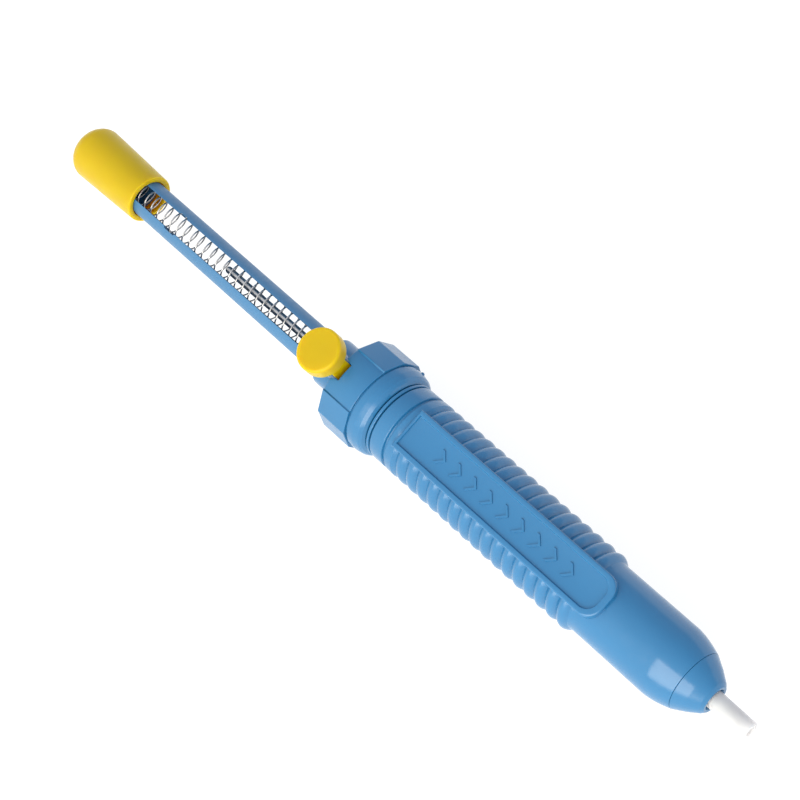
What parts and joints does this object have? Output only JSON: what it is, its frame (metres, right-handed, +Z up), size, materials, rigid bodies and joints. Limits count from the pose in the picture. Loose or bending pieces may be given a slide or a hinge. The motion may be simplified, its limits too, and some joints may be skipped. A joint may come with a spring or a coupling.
{
  "type": "desoldering pump",
  "caption": "Spring-driven hand pump that sucks up molten solder: ribbed barrel, push-in plunger with a slotted shaft, thumb release button and a plastic nozzle.",
  "frame": {"origin": "centre of the bounding box at its base, under the tool axis, on the surface that the tool lies on", "axes": "+X along the tool axis toward the nozzle tip, +Z up toward the release button, +Y to the left seen from the knob"},
  "size_m": [0.3046, 0.0324, 0.0385],
  "materials": {
    "barrel": "satin moulded plastic",
    "cap": "satin moulded plastic",
    "shaft": "satin moulded plastic",
    "nose": "satin moulded plastic",
    "gasket": "satin moulded plastic",
    "knob": "satin moulded plastic",
    "button": "satin moulded plastic",
    "tip": "waxy fluoroplastic",
    "natural": "natural nylon",
    "seat": "natural nylon",
    "steel": "drawn spring steel",
    "rubber": "nitrile rubber"
  },
  "bodies": {
    "barrel": {"barrel": "barrel"},
    "cap_ring": {"cap_gasket": "gasket"},
    "rear_cap": {"rear_cap": "cap", "spring_seat": "seat", "spring_washer": "steel", "main_spring": "steel", "trigger_spring": "steel"},
    "plunger": {"plunger_shaft": "shaft", "plunger_knob": "knob", "shaft_end_plug": "natural", "piston": "natural", "piston_o_ring_rear": "rubber", "piston_o_ring_front": "rubber", "piston_bumper": "rubber", "cleaning_rod": "steel", "rod_nut": "steel"},
    "trigger": {"trigger_button": "button", "latch_plate": "steel"},
    "nose_ring": {"nose_o_ring": "rubber"},
    "nose": {"nose_cone": "nose", "nozzle_tip": "tip", "tip_o_ring": "rubber", "tip_retainer": "natural"}
  },
  "joints": [
    {"name": "cap_back_off", "type": "slide", "parent": "barrel", "child": "cap_ring", "axis": [-1, 0, 0], "range_m": [0, 0.003]},
    {"name": "cap_turn", "type": "hinge", "parent": "cap_ring", "child": "rear_cap", "pos_m": [0.0102, 0, 0.01569], "axis": [-1, 0, 0], "range_deg": [0, 360]},
    {"name": "plunger_slide", "type": "slide", "parent": "rear_cap", "child": "plunger", "axis": [1, 0, 0], "range_m": [0, 0.092], "stiffness_N_per_m": 250, "springref_m": -0.045, "deforming": ["main_spring"]},
    {"name": "trigger_press", "type": "slide", "parent": "rear_cap", "child": "trigger", "axis": [0, 0, -1], "range_m": [0, 0.0018], "stiffness_N_per_m": 300, "springref_m": -0.004, "deforming": ["trigger_spring"]},
    {"name": "nose_back_off", "type": "slide", "parent": "barrel", "child": "nose_ring", "axis": [1, 0, 0], "range_m": [0, 0.0025]},
    {"name": "nose_turn", "type": "hinge", "parent": "nose_ring", "child": "nose", "pos_m": [0.1262, 0, 0.01569], "axis": [1, 0, 0], "range_deg": [0, 360]}
  ],
  "couplings": [
    {"joint": "cap_turn", "follows": "cap_back_off", "rad_per_m": 2094},
    {"joint": "nose_turn", "follows": "nose_back_off", "rad_per_m": 2513}
  ]
}
